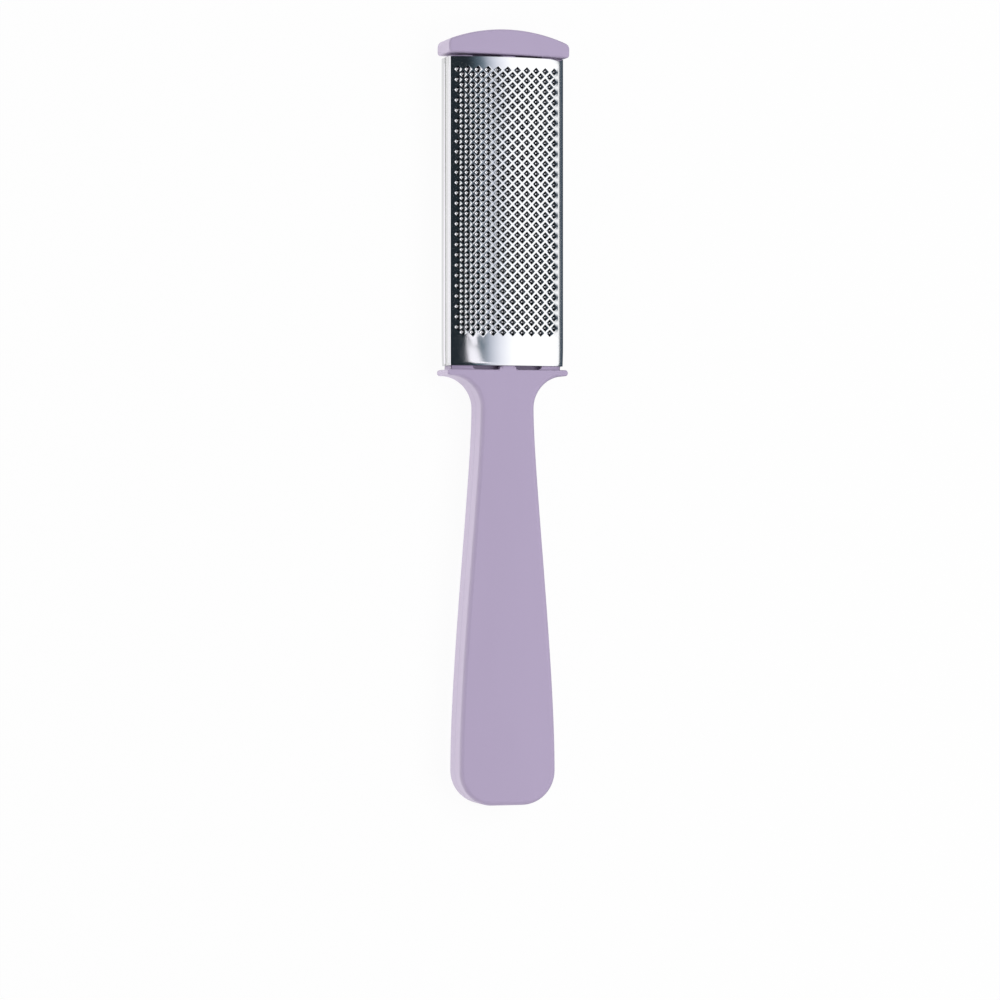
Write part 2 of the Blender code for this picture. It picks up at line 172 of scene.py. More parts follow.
class SleeveSettings(bpy.types.PropertyGroup):
    """Sizes of the punched sleeve and its teeth."""
    sheet: FloatProperty(
        name="Sheet", description="Thickness of the steel", default=0.00045, unit="LENGTH")
    face_radius: FloatProperty(
        name="Face radius", description="How the two faces are crowned", default=0.0560,
        unit="LENGTH")
    fold_radius: FloatProperty(
        name="Fold radius", description="Outer radius of the folds", default=0.0007, unit="LENGTH")
    seam_gap: FloatProperty(
        name="Seam gap", description="Gap of the butt seam", default=0.00035, unit="LENGTH")
    edge_radius: FloatProperty(
        name="Edge rounding", description="Rounding of the sheet's cut edges", default=0.00007,
        unit="LENGTH")
    pitch_across: FloatProperty(
        name="Pitch across", description="Distance between fine teeth in a row", default=0.002665,
        unit="LENGTH")
    pitch_along: FloatProperty(
        name="Pitch along", description="Distance from a fine row to the next like it",
        default=0.002717, unit="LENGTH")
    shift_across: FloatProperty(
        name="Shift across", description="How far the fine panel sits off the middle",
        default=-0.00031, unit="LENGTH")
    bare_at_cap: FloatProperty(
        name="Bare band at cap", description="Unpunched sheet at the cap's end", default=0.00214,
        unit="LENGTH")
    bare_at_handle: FloatProperty(
        name="Bare band at handle", description="Unpunched sheet at the handle's end",
        default=0.0073, unit="LENGTH")
    mouth_reach: FloatProperty(
        name="Mouth reach", description="How far from the handle the sheet starts to draw in",
        default=0.0060, unit="LENGTH")
    mouth_draw: FloatProperty(
        name="Mouth draw", description="How far the sheet's edge at the handle draws in",
        default=0.00013, unit="LENGTH")
    coarse_step: IntProperty(
        name="Coarse step", description="How many fine cells a coarse one takes", default=2)
    fine_height: FloatProperty(
        name="Fine height", description="Height of the fine teeth", default=0.00045, unit="LENGTH")


class FinishSettings(bpy.types.PropertyGroup):
    """Colours of the plastic and the steel, with the painted shade of the teeth's cones and holes.
    """
    plastic: FloatVectorProperty(
        name="Plastic", description="Lavender of the two mouldings", default=(0.451, 0.376, 0.545),
        size=3, subtype="COLOR")
    steel: FloatVectorProperty(
        name="Steel", description="Polished stainless steel", default=(0.68, 0.685, 0.695), size=3,
        subtype="COLOR")
    # Painted shade: the burst cones' steel, darkened to stand for the shade on their flanks
    painted_cone_shade: FloatVectorProperty(
        name="Drawn steel", description="Stretched steel of the burst cones",
        default=(0.17, 0.175, 0.18), size=3, subtype="COLOR")
    # Painted shade: the dark inside of the burst holes
    painted_hole_shade: FloatVectorProperty(
        name="Burst holes", description="Dark inside of the punched teeth",
        default=(0.06, 0.065, 0.07), size=3, subtype="COLOR")


class StudioSettings(bpy.types.PropertyGroup):
    """Camera and light."""
    lens: FloatProperty(
        name="Lens", description="Focal length", default=136.8, unit="CAMERA")
    camera_turn: FloatProperty(
        name="Camera turn", description="How far left of the face the camera stands",
        default=radians(17), subtype="ANGLE")
    camera_distance: FloatProperty(
        name="Camera distance", description="From the tool's middle", default=1.0088,
        unit="LENGTH")
    camera_along: FloatProperty(
        name="Camera along", description="Where the camera stands along the tool",
        default=-0.02177, unit="LENGTH")
    camera_across: FloatProperty(
        name="Camera across", description="How far left of the axis it aims", default=-0.00064,
        unit="LENGTH")
    low_light: FloatProperty(
        name="Low light", description="Radiance of the panel that lies left of the tool",
        default=1.25)
    right_light: FloatProperty(
        name="Right light", description="Radiance of the right softbox", default=2.75)
    ambient: FloatProperty(
        name="Ambient", description="Level of the room's own light", default=0.50)
    mirror: FloatProperty(
        name="Mirror", description="Level of the windows that the steel mirrors", default=1.55)


def settings(group):
    """A settings group of the scene."""
    return getattr(bpy.context.scene, "foot_rasp_" + group)


# ---- meshes


def new_object(name, mesh):
    """An object that holds the mesh, in the scene."""
    thing = bpy.data.objects.new(name, mesh)
    bpy.context.scene.collection.objects.link(thing)
    return thing


def placed(bm, name):
    """The bmesh as an object in the scene."""
    mesh = bpy.data.meshes.new(name)
    bm.to_mesh(mesh)
    bm.free()
    return new_object(name, mesh)


def finished(bm, name):
    """The bmesh as an object, with its faces pointing out and its edges as sharp as marked."""
    bmesh.ops.recalc_face_normals(bm, faces=bm.faces)
    for face in bm.faces:
        face.smooth = True
    return placed(bm, name)


def mark_sharp(bm):
    """Mark the edges whose faces turn by more than the smooth angle."""
    for edge in bm.edges:
        edge.smooth = edge.calc_face_angle(0) < SMOOTH_ANGLE


def is_level(face):
    """Whether a face of a plate is one of its two flat sides."""
    return face.normal.xy.length < FLAT_TILT


def edges_of(faces):
    """The edges of these faces, each once and in the same order on each run."""
    return list(dict.fromkeys(edge for face in faces for edge in face.edges))


def round_edges(bm, edges, radius, segments):
    """Round these edges."""
    bmesh.ops.bevel(bm, geom=edges, offset=radius, offset_type="OFFSET", segments=segments,
                    profile=0.5, affect="EDGES", material=-1)


def round_upright(bm, radius):
    """Round the sharp upright edges."""
    corners = [edge for edge in bm.edges
               if (edge.verts[0].co.xy - edge.verts[1].co.xy).length < WELD
               and edge.calc_face_angle() > SMOOTH_ANGLE]
    round_edges(bm, corners, radius, CORNER_STEPS)


def round_rims(bm, radius):
    """Round the edges where the flat sides meet the edge that runs round them."""
    rims = edges_of(face for face in bm.faces if is_level(face))
    round_edges(bm, rims, radius, RIM_STEPS)


def block(name, low, high, corner_radius=0.0, rim_radius=0.0):
    """A box between two corners, with its upright edges and the rims of its flat sides rounded."""
    bm = bmesh.new()
    bmesh.ops.create_cube(bm, size=1)
    low, high = Vector(low), Vector(high)
    bmesh.ops.scale(bm, vec=high - low, verts=bm.verts)
    bmesh.ops.translate(bm, vec=(low + high) / 2, verts=bm.verts)
    if corner_radius:
        round_upright(bm, corner_radius)
    if rim_radius:
        round_rims(bm, rim_radius)
    mark_sharp(bm)
    return finished(bm, name)


def rod(name, radius, half_length, place):
    """A rod along X."""
    bm = bmesh.new()
    bmesh.ops.create_cone(bm, cap_ends=True, segments=4 * CORNER_STEPS, radius1=radius,
                          radius2=radius, depth=2 * half_length,
                          matrix=Matrix.Translation(place) @ Matrix.Rotation(pi / 2, 4, "Y"))
    mark_sharp(bm)
    return finished(bm, name)


def drawn_plate(outline, thickness):
    """A flat solid at mid height, from half of its outline as (point, handle before, after)."""
    curve = bpy.data.curves.new("outline", "CURVE")
    curve.dimensions = "2D"
    curve.fill_mode = "BOTH"
    curve.extrude = thickness / 2
    curve.resolution_u = CURVE_STEPS
    other_side = [((-x, y), after and (-after[0], after[1]), before and (-before[0], before[1]))
                  for (x, y), before, after in reversed(outline) if x]
    knots = outline + other_side
    spline = curve.splines.new("BEZIER")
    spline.bezier_points.add(len(knots) - 1)
    spline.use_cyclic_u = True
    for knot, (point, before, after) in zip(spline.bezier_points, knots):
        knot.co = (*point, 0)
        knot.handle_left_type = "FREE" if before else "VECTOR"
        knot.handle_right_type = "FREE" if after else "VECTOR"
        if before:
            knot.handle_left = (*before, 0)
        if after:
            knot.handle_right = (*after, 0)
    drawing = new_object("outline", curve)
    depsgraph = bpy.context.evaluated_depsgraph_get()
    mesh = bpy.data.meshes.new_from_object(drawing.evaluated_get(depsgraph))
    bm = bmesh.new()
    bm.from_mesh(mesh)
    bpy.data.objects.remove(drawing)
    bpy.data.meshes.remove(mesh)
    bmesh.ops.remove_doubles(bm, verts=bm.verts, dist=WELD)
    bmesh.ops.dissolve_faces(bm, faces=[face for face in bm.faces if is_level(face)])
    bmesh.ops.translate(bm, vec=(0, 0, MID_Z), verts=bm.verts)
    return bm


def combined(thing, tools):
    """The object after each (other object, operation), with the others used up."""
    for other, operation in tools:
        boolean = thing.modifiers.new(other.name, "BOOLEAN")
        boolean.operation = operation
        boolean.solver = "EXACT"
        boolean.object = other
    depsgraph = bpy.context.evaluated_depsgraph_get()
    mesh = bpy.data.meshes.new_from_object(thing.evaluated_get(depsgraph))
    bm = bmesh.new()
    bm.from_mesh(mesh)
    bmesh.ops.dissolve_degenerate(bm, dist=SLIVER, edges=bm.edges)
    bm.to_mesh(mesh)
    bm.free()
    thing.modifiers.clear()
    old = thing.data
    thing.data = mesh
    bpy.data.meshes.remove(old)
    for other, _ in tools:
        bpy.data.meshes.remove(other.data)  # its object goes with it
    mesh.name = thing.name
    return thing


def flat_sides_flat(thing):
    """Let large flat faces rule the shading of the rounded rims beside them."""
    weighted = thing.modifiers.new("flat sides", "WEIGHTED_NORMAL")
    weighted.keep_sharp = True
    weighted.weight = 100


# ---- handle and cap


def grip_outline(sizes):
    """Half of the grip's outline, from its end up the side to inside the flange."""
    end_y = HANDLE_LOW.y
    side_y = end_y + sizes.grip_end_radius
    under_y = FLANGE_TOP_Y - sizes.flange_thickness
    flare = FLANGE_HALF_WIDTH - sizes.flange_tip_radius - sizes.neck_half_width
    neck_y = under_y - flare
    taper = neck_y - side_y
    end_x = sizes.grip_half_width - sizes.grip_end_radius
    end_pull = CIRCLE_SHARE * sizes.grip_end_radius
    flare_x = sizes.neck_half_width + flare
    flare_pull = CIRCLE_SHARE * flare
    top_y = FLANGE_TOP_Y + 2 * sizes.edge_radius
    side_x, neck_x = sizes.grip_half_width, sizes.neck_half_width
    return [
        ((end_x, end_y), None, (end_x + end_pull, end_y)),
        ((side_x, side_y), (side_x, side_y - end_pull),
         (side_x, side_y + sizes.taper_at_grip * taper)),
        ((neck_x, neck_y), (neck_x, neck_y - sizes.taper_at_neck * taper),
         (neck_x, neck_y + flare_pull)),
        ((flare_x, under_y), (flare_x - flare_pull, under_y), None),
        ((flare_x, top_y), None, None),
    ]


def score_parting_line(bm, depth, width):
    """Cut the fine line round the edge where the two mould halves met."""
    for z in (MID_Z - width / 2, MID_Z, MID_Z + width / 2):
        bmesh.ops.bisect_plane(bm, geom=bm.verts[:] + bm.edges[:] + bm.faces[:],
                               plane_co=(0, 0, z), plane_no=(0, 0, 1))
    bm.normal_update()
    line = [vert for vert in bm.verts if abs(vert.co.z - MID_Z) < WELD]
    outward = {vert: vert.normal.copy() for vert in line}
    for vert in line:
        vert.co -= depth * outward[vert]


def section_runs(sizes, inset, fold):
    """Length and turning radius of each run, seam to seam, of a section inside the sleeve's."""
    crown = SLEEVE_HIGH.z - sizes.fine_height - MID_Z
    face = sizes.face_radius - inset
    reach = SLEEVE_HALF_WIDTH - inset - fold
    fold_z = crown - sizes.face_radius + sqrt((face - fold) ** 2 - reach ** 2)
    half_turn = asin(reach / (face - fold))
    face_run = (2 * face * half_turn, face)
    fold_run = (fold * (pi / 2 - half_turn), fold)
    seam_side = (fold_z - sizes.seam_gap / 2, None)
    plain_side = (2 * fold_z, None)
    return [seam_side, fold_run, face_run, fold_run, plain_side,
            fold_run, face_run, fold_run, seam_side]


def folded(runs, inset, seam_gap, along, out):
    """The place in a section of a point on the blank: how far along it, how far above it."""
    place = Vector((inset - SLEEVE_HALF_WIDTH, seam_gap / 2))
    heading = Vector((0, 1))
    for length, radius in runs:
        step = min(along, length)
        if radius:
            turn = Matrix.Rotation(-step / radius, 2)
            centre = place + radius * Vector((heading.y, -heading.x))
            place = centre + turn @ (place - centre)
            heading = turn @ heading
        else:
            place = place + step * heading
        along -= step
        if along <= 0:
            break
    return place + out * Vector((-heading.y, heading.x))


def core_bar(low_y, high_y):
    """The bar that fills the sleeve: the sleeve's section, less its sheet and a clearance."""
    sizes = settings("sleeve")
    inset = core_inset(sizes)
    corner = settings("handle").core_corner_radius
    runs = section_runs(sizes, inset, corner)
    bm = bmesh.new()
    along = 0.0
    ring = []
    for length, radius in runs:
        steps = FOLD_STEPS if radius == corner else CURVE_STEPS if radius else 1
        for step in range(steps):
            ring.append(folded(runs, inset, sizes.seam_gap, along + length * step / steps, 0))
        along += length
    end = bm.faces.new([bm.verts.new((x, low_y, MID_Z + z)) for x, z in ring[1:]])
    made = bmesh.ops.extrude_face_region(bm, geom=[end])["geom"]
    moved = [item for item in made if isinstance(item, bmesh.types.BMVert)]
    bmesh.ops.translate(bm, vec=(0, high_y - low_y, 0), verts=moved)
    mark_sharp(bm)
    return finished(bm, "core_bar")


def core_inset(sleeve):
    """How far the core's skin lies under the sleeve's."""
    return SLEEVE_HIGH.z - sleeve.fine_height - MID_Z - settings("handle").thickness / 2


def pockets(sizes):
    """Cutters for the pockets each side of the rib, in both faces of the core."""
    core_half_width = SLEEVE_HALF_WIDTH - core_inset(settings("sleeve"))
    reach = SLEEVE_HIGH.z - MID_Z
    for side in (-1, 1):
        for face in (-1, 1):
            x = sorted((side * sizes.rib_half_width,
                        side * (core_half_width - sizes.rail_width)))
            z = sorted((face * sizes.web_thickness / 2, face * (reach + OVERRUN)))
            yield block("pocket", (x[0], FLANGE_TOP_Y, MID_Z + z[0]),
                        (x[1], CORE_TOP_Y + OVERRUN + sizes.pocket_radius, MID_Z + z[1]),
                        corner_radius=sizes.pocket_radius)


def tongue_parts(clearance):
    """The tongue and its two snap beads, grown by a clearance when they cut the cap's socket."""
    half_width = SLEEVE_HALF_WIDTH - core_inset(settings("sleeve")) - TONGUE_SHOULDER
    half_thickness = settings("handle").web_thickness / 2 - TONGUE_STEP
    top_y = CAP_HIGH.y - settings("cap").end_wall - SEAT_GAP
    root_y = CORE_TOP_Y - (0 if clearance else OVERRUN)
    yield block("tongue", (-half_width - clearance, root_y, MID_Z - half_thickness - clearance),
                (half_width + clearance, top_y + clearance, MID_Z + half_thickness + clearance))
    for face in (-1, 1):
        place = (0, (CAP_LOW.y + top_y) / 2, MID_Z + face * half_thickness)
        yield rod("bead", BEAD_RADIUS + clearance, half_width - BEAD_INSET + clearance, place)


def arc_pull(turn, radius):
    """How far the handles of a curve reach where it stands for an arc."""
    return 4 / 3 * tan(turn / 4) * radius


def cap_outline(sizes):
    """Half of the cap's outline: up its end from the flat foot, round the shoulder, the crown."""
    half_width, crown, shoulder = CAP_HIGH.x, sizes.crown_radius, sizes.shoulder_radius
    turn = asin((half_width - shoulder) / (crown - shoulder))
    centre_y = CAP_HIGH.y - crown
    side_y = centre_y + (crown - shoulder) * cos(turn)
    meet_x, meet_y = crown * sin(turn), centre_y + crown * cos(turn)
    shoulder_pull = arc_pull(pi / 2 - turn, shoulder)
    crown_pull = arc_pull(turn, crown)
    return [
        ((half_width, CAP_LOW.y), None, None),
        ((half_width, side_y), None, (half_width, side_y + shoulder_pull)),
        ((meet_x, meet_y),
         (meet_x + shoulder_pull * cos(turn), meet_y - shoulder_pull * sin(turn)),
         (meet_x - crown_pull * cos(turn), meet_y + crown_pull * sin(turn))),
        ((0, CAP_HIGH.y), (crown_pull, CAP_HIGH.y), (-crown_pull, CAP_HIGH.y)),
    ]


class RASP_OT_handle(bpy.types.Operator):
    """Mould the grip, flange, core and tongue as one piece"""
    bl_idname = "foot_rasp.handle"
    bl_label = "Handle"

    def execute(self, context):
        sizes = settings("handle")
        bm = drawn_plate(grip_outline(sizes), sizes.thickness)
        score_parting_line(bm, sizes.parting_depth, sizes.parting_width)
        round_rims(bm, sizes.edge_radius)
        mark_sharp(bm)
        handle = finished(bm, "handle_moulding")
        mid_y = FLANGE_TOP_Y - sizes.flange_thickness / 2
        reach = FLANGE_HALF_WIDTH + OVERRUN
        depth = sizes.thickness
        trim = block("trim", (-reach, mid_y, MID_Z - depth),
                     (reach, FLANGE_TOP_Y + 2 * sizes.edge_radius + OVERRUN, MID_Z + depth))
        flange = block("flange", (-FLANGE_HALF_WIDTH, FLANGE_TOP_Y - sizes.flange_thickness,
                                  MID_Z - depth / 2),
                       (FLANGE_HALF_WIDTH, FLANGE_TOP_Y, MID_Z + depth / 2),
                       sizes.flange_tip_radius, sizes.flange_radius)
        core = core_bar(mid_y, CORE_TOP_Y)
        tools = [(trim, "DIFFERENCE"), (flange, "UNION"), (core, "UNION")]
        tools += [(part, "UNION") for part in tongue_parts(0)]
        tools += [(pocket, "DIFFERENCE") for pocket in pockets(sizes)]
        handle = combined(handle, tools)
        flat_sides_flat(handle)
        handle.data.materials.clear()
        handle.data.materials.append(lavender_plastic())
        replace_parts(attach(handle, "root"), "handle")
        return {"FINISHED"}


class RASP_OT_cap(bpy.types.Operator):
    """Mould the end cap with its socket"""
    bl_idname = "foot_rasp.cap"
    bl_label = "End cap"

    def execute(self, context):
        sizes = settings("cap")
        bm = drawn_plate(cap_outline(sizes), CAP_HIGH.z - CAP_LOW.z)
        round_upright(bm, sizes.foot_radius)
        round_rims(bm, sizes.edge_radius)
        mark_sharp(bm)
        cap = finished(bm, "cap_moulding")
        cap = combined(cap, [(part, "DIFFERENCE") for part in tongue_parts(SOCKET_CLEARANCE)])
        seat = Matrix.Translation((0, CAP_LOW.y, 0))
        cap.data.transform(Matrix.Translation((sizes.askew_shift, 0, 0)) @ seat
                           @ Matrix.Rotation(-sizes.askew_turn, 4, "Z") @ seat.inverted())
        flat_sides_flat(cap)
        cap.data.materials.clear()
        cap.data.materials.append(lavender_plastic())
        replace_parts(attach(cap, "root"), "end_cap")
        return {"FINISHED"}


# ---- sleeve


def fine_cells(sizes, face_width):
    """Half-pitch cells across and along the fine panel."""
    toothed = SLEEVE_LENGTH - sizes.bare_at_cap - sizes.bare_at_handle
    return 2 * int(face_width / sizes.pitch_across), int(2 * toothed / sizes.pitch_along)


def blank_columns(sizes, runs, cells_across):
    """Grid lines along the blank's run, and the first and last line of each tooth panel."""
    columns = [0.0]
    panels = []
    for length, radius in runs:
        start = columns[-1]
        if radius == sizes.face_radius:
            cells = cells_across // sizes.coarse_step if panels else cells_across
            cell = cells_across * sizes.pitch_across / 2 / cells
            margin = (length - cells * cell) / 2 + (0 if panels else sizes.shift_across)
            panels.append((len(columns), len(columns) + cells))
            columns += [start + margin + index * cell for index in range(cells + 1)]
        elif radius:
            columns += [start + length * step / FOLD_STEPS for step in range(1, FOLD_STEPS)]
        columns.append(start + length)
    return columns, panels


def blank_grid(columns, rows):
    """A flat sheet with its grid lines at the given places, and its vertices by line numbers."""
    bm = bmesh.new()
    across, along = len(columns) - 1, len(rows) - 1
    bmesh.ops.create_grid(bm, x_segments=across, y_segments=along, size=1)
    nodes = {}
    for vert in bm.verts:
        column = round((vert.co.x + 1) / 2 * across)
        row = round((vert.co.y + 1) / 2 * along)
        nodes[column, row] = vert
        vert.co = (columns[column], rows[row], 0)
    # The rows run down the sleeve, which leaves the faces pointing in
    bmesh.ops.reverse_faces(bm, faces=bm.faces)
    bm.normal_update()
    return bm, nodes


def drop_spare_lines(bm, nodes, columns, rows, panels, step):
    """Take out the lines across the sheet wherever a tooth panel doesn't use them."""
    (fine_first, fine_last), (coarse_first, coarse_last) = panels
    spare = []
    for column in range(len(columns) - 1):
        for row in range(1, len(rows) - 1):
            in_fine = fine_first <= column < fine_last
            in_coarse = coarse_first <= column < coarse_last
            if in_fine or (in_coarse and (row - 1) % step == 0):
                continue
            spare.append(bm.edges.get((nodes[column, row], nodes[column + 1, row])))
    bmesh.ops.dissolve_edges(bm, edges=spare, use_verts=True)


def lattice(bm, nodes, first, last, step, rows):
    """Turn a panel's square cells into diamonds, one for each tooth, and return them."""
    teeth = []
    lines = range(1, len(rows) - 1, step)
    for line, row in enumerate(lines[:-1]):
        for column in range(first, last):
            corners = [nodes[column, row], nodes[column + 1, row],
                       nodes[column + 1, row + step], nodes[column, row + step]]
            odd = (line + column - first) % 2
            start, end = corners[1 - odd], corners[3 - odd]
            cell = next(face for face in start.link_faces if end in face.verts)
            bmesh.utils.face_split(cell, start, end)
            if line and column > first and not odd:
                teeth.append(corners[0])
    # A material index marks the cells of the teeth while their corners go
    for tooth in teeth:
        for face in tooth.link_faces:
            face.material_index = 1
    bmesh.ops.dissolve_verts(bm, verts=teeth)
    diamonds = [face for face in bm.faces if face.material_index]
    for diamond in diamonds:
        diamond.material_index = 0
    return diamonds


# Rings of a tooth: distance in from the lattice, height, roundness, whether its edge is crisp
FINE_RINGS = [
    (0.00025, 0.000042, 0.0, True),
    (0.00046, 0.000155, 0.2, True),
    (0.00056, 0.000215, 0.75, False),
    (0.00064, 0.000270, 1.0, False),
    (0.00080, 0.000450, 1.0, True),
]
COARSE_RINGS = [
    (0.00045, 0.000020, 0.0, True),
    (0.00080, 0.000220, 0.2, True),
    (0.00098, 0.000390, 0.6, False),
    (0.00112, 0.000500, 0.9, False),
    (0.00126, 0.000600, 1.0, True),
]
FINE_PIT = 0.00030
COARSE_PIT = 0.00045

# A ring rounder than this belongs to the burst cone, whose steel is painted darker as shade
ROUND_CONE = 0.5

# A face of the blank that points up by more than this is on its toothed side
TOOTHED_SIDE = 0.1

# The sleeve's materials, in the order of their slots
POLISHED, PAINTED_HOLE_SHADE, PAINTED_CONE_SHADE = range(3)


def raise_teeth(bm, diamonds, rings, pit):
    """Burst each diamond ring by ring: a sloping foot, a rounded cone and a hole of pit's depth."""
    centres = {face: face.calc_center_median() for face in diamonds}
    before = (0.0, 0.0)
    for inset, height, roundness, crisp in rings:
        # The cone's rings take the darker steel of painted shade; its crisp lip keeps the polished
        # steel
        if roundness > ROUND_CONE:
            for face in diamonds:
                face.material_index = POLISHED if crisp else PAINTED_CONE_SHADE
        bmesh.ops.inset_individual(bm, faces=diamonds, thickness=inset - before[0],
                                   depth=height - before[1], use_even_offset=True)
        edges = edges_of(diamonds)
        for edge in edges:
            edge.smooth = not crisp
        if before == (0.0, 0.0):
            bmesh.ops.subdivide_edges(bm, edges=edges, cuts=1)
        before = (inset, height)
        for face in diamonds:
            soften(face, centres[face], roundness)
    # The pit's faces take the dark steel of painted shade
    bmesh.ops.inset_individual(bm, faces=diamonds, thickness=0, depth=-pit)
    for face in diamonds:
        face.material_index = PAINTED_HOLE_SHADE


def soften(face, centre, roundness):
    """Move a ring's points towards the same distance from its centre."""
    offsets = [(vert.co.xy - centre.xy) for vert in face.verts]
    mean = sum(offset.length for offset in offsets) / len(offsets)
    for vert, offset in zip(face.verts, offsets):
        length = offset.length + roundness * (mean - offset.length)
        offset = offset.normalized() * length
        vert.co.x, vert.co.y = centre.x + offset.x, centre.y + offset.y


def back_sheet(bm, sizes):
    """Give the blank its inner skin and its cut edges, and round those on its toothed side."""
    rim = [edge for edge in bm.edges if edge.is_boundary]
    made = bmesh.ops.extrude_edge_only(bm, edges=rim)["geom"]
    for item in made:
        if isinstance(item, bmesh.types.BMVert):
            item.co.z = -sizes.sheet
    ends = [item for item in made if isinstance(item, bmesh.types.BMEdge)
            and item.is_boundary and item.verts[0].co.y == item.verts[1].co.y]
    bmesh.ops.bridge_loops(bm, edges=ends)
    round_edges(bm, rim, sizes.edge_radius, CUT_EDGE_STEPS)


def fold_sheet(bm, sizes, runs):
    """Draw the sheet in at its mouth, and fold it along its runs."""
    for step in range(1, MOUTH_STEPS):
        line_y = SLEEVE_LOW.y + sizes.mouth_reach * step / MOUTH_STEPS
        bmesh.ops.bisect_plane(bm, geom=bm.verts[:] + bm.edges[:] + bm.faces[:],
                               plane_co=(0, line_y, 0), plane_no=(0, 1, 0))
    for vert in bm.verts:
        near = max(0, 1 - (vert.co.y - SLEEVE_LOW.y) / sizes.mouth_reach)
        vert.co.z -= sizes.mouth_draw * near ** 2
        across, up = folded(runs, 0, sizes.seam_gap, vert.co.x, vert.co.z)
        vert.co = (across, vert.co.y, MID_Z + up)
    # The normals are still the blank's here, and its toothed side keeps the edges set before
    for edge in bm.edges:
        if not edge.link_faces[0].normal.z > TOOTHED_SIDE:
            edge.smooth = edge.calc_face_angle(0) < SMOOTH_ANGLE


class RASP_OT_sleeve(bpy.types.Operator):
    """Punch the sheet's two tooth panels, back it with its inner skin and fold it to the seam"""
    bl_idname = "foot_rasp.sleeve"
    bl_label = "Rasp sleeve"

    def execute(self, context):
        sizes = settings("sleeve")
        runs = section_runs(sizes, 0, sizes.fold_radius)
        face_width = next(length for length, radius in runs if radius == sizes.face_radius)
        cells_across, cells_along = fine_cells(sizes, face_width)
        columns, panels = blank_columns(sizes, runs, cells_across)
        first_line = SLEEVE_HIGH.y - sizes.bare_at_cap
        lines = [first_line - line * sizes.pitch_along / 2 for line in range(cells_along + 1)]
        rows = [SLEEVE_HIGH.y, *lines, SLEEVE_LOW.y]
        bm, nodes = blank_grid(columns, rows)
        drop_spare_lines(bm, nodes, columns, rows, panels, sizes.coarse_step)

        fine = lattice(bm, nodes, *panels[0], 1, rows)
        coarse = lattice(bm, nodes, *panels[1], sizes.coarse_step, rows)
        raise_teeth(bm, fine, FINE_RINGS, FINE_PIT)
        raise_teeth(bm, coarse, COARSE_RINGS, COARSE_PIT)
        back_sheet(bm, sizes)
        fold_sheet(bm, sizes, runs)
        sleeve = finished(bm, "sleeve_sheet")
        for steel in (polished_steel, painted_hole_shade_steel, painted_cone_shade_steel):
            sleeve.data.materials.append(steel())
        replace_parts(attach(sleeve, "root"), "rasp_sleeve")
        return {"FINISHED"}


# ---- finishes


class Value:
    """A number from a shader socket, for use in Python expressions."""

    def __init__(self, maker, socket):
        self.maker = maker
        self.socket = socket

    def math(self, operation, first, second):
        return self.maker.add("ShaderNodeMath", {"operation": operation},
                              {0: first, 1: second}).value(0)

    def __add__(self, other):
        return self.math("ADD", self, other)

    def __mul__(self, other):
        return self.math("MULTIPLY", self, other)

    __radd__, __rmul__ = __add__, __mul__


class Node:
    """A node that was added, with its outputs as values."""

    def __init__(self, maker, node):
        self.maker = maker
        self.node = node

    def value(self, output):
        return Value(self.maker, self.node.outputs[output])


class Finish:
    """A material or a world, and the one way its nodes are added."""

    def __init__(self, name, kind="materials"):
        self.owner = getattr(bpy.data, kind).new(name)
        self.owner.use_nodes = True
        self.tree = self.owner.node_tree
        self.tree.nodes.clear()

    def add(self, kind, settings_first=None, sockets=None):
        node = self.tree.nodes.new(kind)
        for name, value in (settings_first or {}).items():
            if name == "stops":
                ramp_stops(node, value)
            else:
                setattr(node, name, value)
        for name, value in (sockets or {}).items():
            if isinstance(value, Value):
                self.tree.links.new(value.socket, node.inputs[name])
            else:
                node.inputs[name].default_value = value
        return Node(self, node)

    def noise(self, place, scale, detail=2.0, stretch=(1, 1, 1)):
        """Noise from 0 to 1 round 0.5, on Object coordinates that are stretched first."""
        mapped = self.add("ShaderNodeMapping", {}, {"Vector": place, "Scale": stretch})
        return self.add("ShaderNodeTexNoise", {"noise_dimensions": "3D"},
                        {"Vector": mapped.value("Vector"), "Scale": scale,
                         "Detail": detail}).value("Fac")

    def place(self):
        """Where a point lies on its object."""
        return self.add("ShaderNodeTexCoord").value("Object")

    def tinted(self, colour, factor, darker, lighter):
        """The colour, between these two shares of itself as the factor says."""
        low = (*[part * darker for part in colour], 1)
        high = (*[min(1.0, part * lighter) for part in colour], 1)
        return self.add("ShaderNodeMix", {"data_type": "RGBA"},
                        {"Factor": factor, "A": low, "B": high}).value(2)

    def output(self, shader, kind="ShaderNodeOutputMaterial"):
        """The material or world, with this shader as its surface."""
        self.add(kind, {}, {"Surface": shader.value(0)})
        return self.owner

    def principled(self, sockets):
        """The material, with a principled shader of these sockets as its surface."""
        return self.output(self.add("ShaderNodeBsdfPrincipled", {}, sockets))

    def unlit(self, colour, strength=1.0):
        """The material as a plain glow, which isn't sampled as a lamp."""
        self.owner.cycles.emission_sampling = "NONE"
        return self.output(self.add("ShaderNodeEmission", {},
                                    {"Color": colour, "Strength": strength}))


def ramp_stops(node, stops):
    """Set a colour ramp's stops."""
    elements = node.color_ramp.elements
    while len(elements) < len(stops):
        elements.new(1.0)
    for element, (position, colour) in zip(elements, stops):
        element.position = position
        element.color = colour


